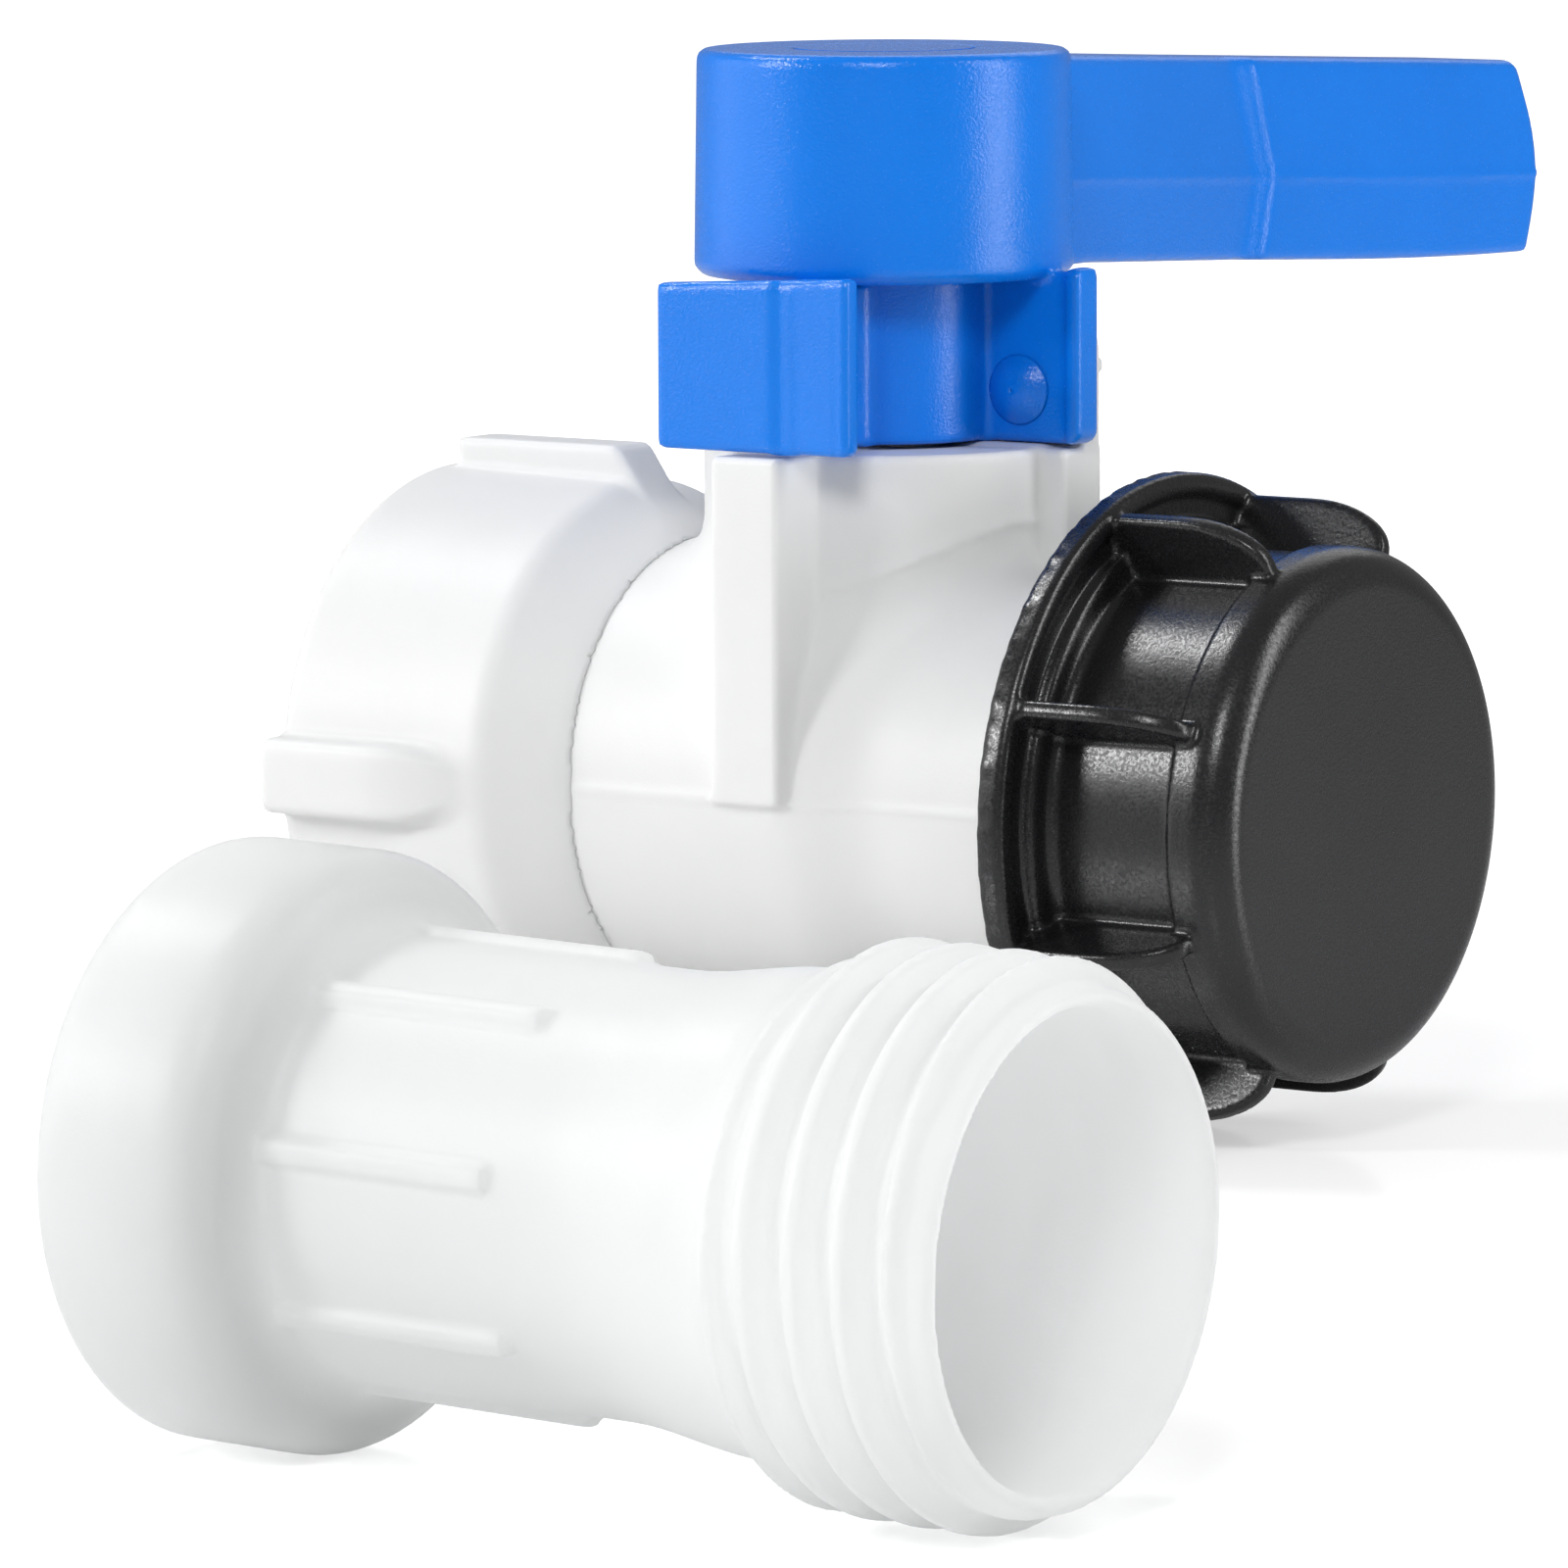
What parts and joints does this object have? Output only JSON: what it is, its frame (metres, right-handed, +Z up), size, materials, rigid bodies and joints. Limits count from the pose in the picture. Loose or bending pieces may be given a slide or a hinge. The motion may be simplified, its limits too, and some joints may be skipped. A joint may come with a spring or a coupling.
{
  "type": "rain barrel tap",
  "caption": "Plastic ball valve for a rain barrel or water tank, with lever, lock pin, swivel nut and dust cap, and its loose threaded extension pipe.",
  "frame": {"origin": "centre of the inlet nut's open face, on the axis of the pipe run", "axes": "+X along the run from the inlet to the dust cap, +Y the way the closed lever points, +Z up along the stem"},
  "size_m": [0.2641, 0.4237, 0.138],
  "materials": {
    "white_body": "satin natural polyethylene, slightly translucent",
    "milky_plastic": "satin natural polyethylene, more translucent than the body",
    "blue_plastic": "fine-grained satin blue",
    "black_plastic": "fine-grained black",
    "seat_plastic": "waxy white sealing plastic",
    "seal_rubber": "soft black rubber",
    "steel": "stainless steel"
  },
  "bodies": {
    "valve": {"valve_body": "white_body", "outlet_seat": "seat_plastic", "outlet_seat_o_ring": "seal_rubber", "inlet_seat": "seat_plastic", "inlet_seat_o_ring": "seal_rubber", "seat_carrier": "white_body", "carrier_o_ring": "seal_rubber", "inlet_gasket": "seal_rubber", "gland_bush": "seat_plastic"},
    "lever_and_ball": {"lever": "blue_plastic", "lever_washer": "steel", "lever_screw": "steel", "hub_plug": "blue_plastic", "stem": "white_body", "thrust_washer": "seat_plastic", "lower_stem_o_ring": "seal_rubber", "upper_stem_o_ring": "seal_rubber", "ball": "white_body"},
    "lock_pin": {"lock_pin": "blue_plastic"},
    "swivel_nut": {"inlet_nut": "white_body"},
    "sealing_disc": {"cap_liner": "seal_rubber"},
    "dust_cap": {"dust_cap": "black_plastic"},
    "loose_pipe": {"extension_pipe": "milky_plastic", "pipe_gasket": "seal_rubber"}
  },
  "joints": [
    {"name": "lever_turn", "type": "hinge", "parent": "valve", "child": "lever_and_ball", "pos_m": [0.071, 0, 0], "axis": [0, 0, -1], "range_deg": [0, 90]},
    {"name": "lock_pin_pull", "type": "slide", "parent": "lever_and_ball", "child": "lock_pin", "axis": [0, -1, 0], "range_m": [0, 0.014]},
    {"name": "nut_turn", "type": "hinge", "parent": "valve", "child": "swivel_nut", "pos_m": [0, 0, 0], "axis": [1, 0, 0], "continuous": true},
    {"name": "cap_travel", "type": "slide", "parent": "valve", "child": "sealing_disc", "axis": [1, 0, 0], "range_m": [0, 0.015]},
    {"name": "cap_turn", "type": "hinge", "parent": "sealing_disc", "child": "dust_cap", "pos_m": [0.071, 0, 0], "axis": [1, 0, 0], "range_deg": [0, 900]},
    {"name": "pipe_lift", "type": "slide", "parent": "valve", "child": "loose_pipe", "axis": [0, 0, 1], "range_m": [0, 0.06]}
  ],
  "couplings": [
    {"joint": "cap_turn", "follows": "cap_travel", "rad_per_m": 1047.2}
  ]
}
